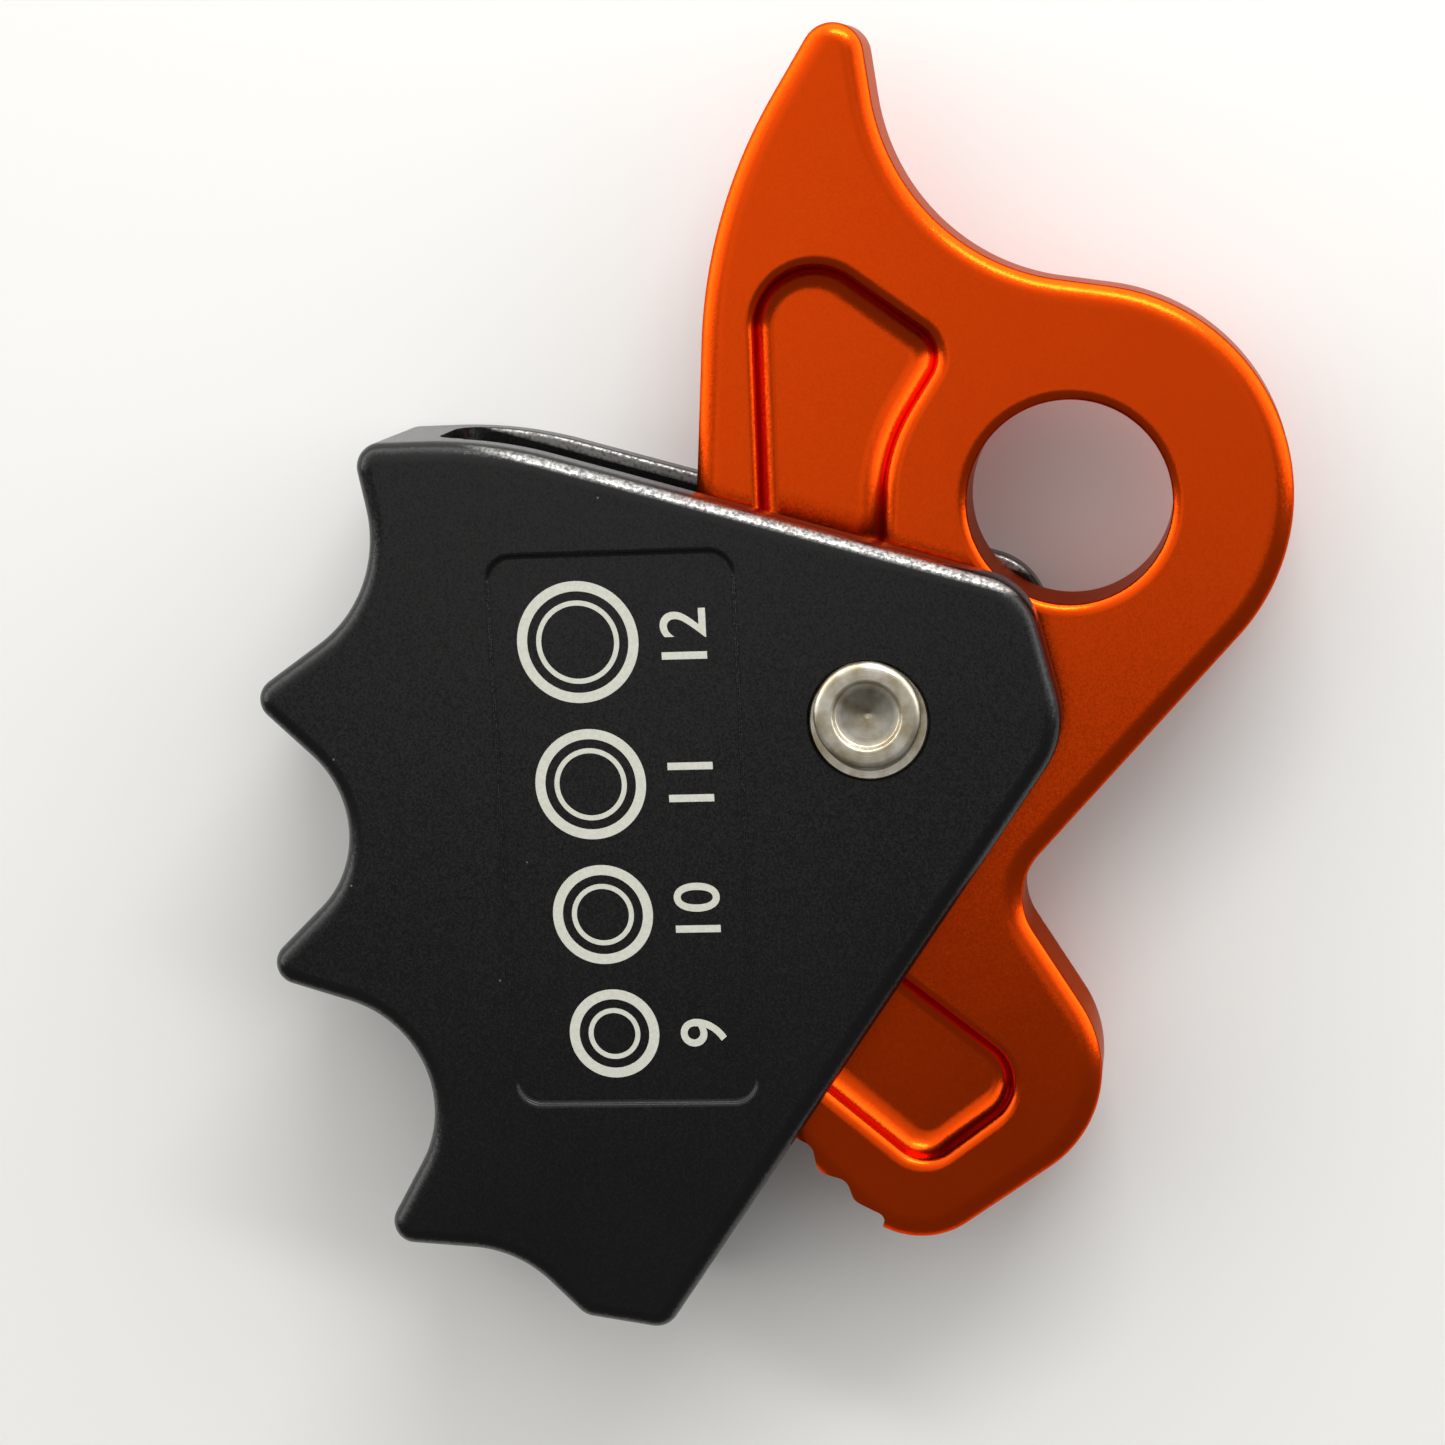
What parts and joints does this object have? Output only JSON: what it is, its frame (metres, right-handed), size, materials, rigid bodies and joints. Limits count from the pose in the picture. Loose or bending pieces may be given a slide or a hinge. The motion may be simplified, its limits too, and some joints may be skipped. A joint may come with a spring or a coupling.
{
  "type": "rope grab",
  "caption": "Hand-held rope grab: U-section body with finger scallops and a sprung toothed cam lever that clamps a rope, with an eye for a carabiner.",
  "frame": {"origin": "middle of the bounding box on the rear face, on which the part lies flat", "axes": "+Y along the rope towards the lever's thumb rest, +X from the finger scallops to the carabiner eye, +Z out of the front face along the pivot"},
  "size_m": [0.102, 0.128, 0.0226],
  "materials": {
    "black_anodised_aluminium": "bead-blasted, black anodised",
    "orange_anodised_aluminium": "satin, orange anodised",
    "white_acetal": "turned",
    "sintered_bronze": "sintered, oiled",
    "spring_steel": "drawn wire",
    "stainless_steel": "turned, bright"
  },
  "bodies": {
    "frame": {"body": "black_anodised_aluminium", "pivot_rivet": "stainless_steel", "rivet_washer_front": "stainless_steel", "rivet_washer_rear": "stainless_steel", "pivot_bush": "sintered_bronze", "torsion_spring": "spring_steel"},
    "lever": {"cam_lever": "orange_anodised_aluminium", "thrust_washer_front": "white_acetal", "thrust_washer_rear": "white_acetal"}
  },
  "joints": [
    {"name": "cam_pivot", "type": "hinge", "parent": "frame", "child": "lever", "pos_m": [0.00989, -0.00242, 0.01075], "axis": [0, 0, 1], "range_deg": [-49, 36], "stiffness_Nm_per_rad": 0.02, "springref_deg": -91.67, "deforming": ["torsion_spring"]}
  ]
}
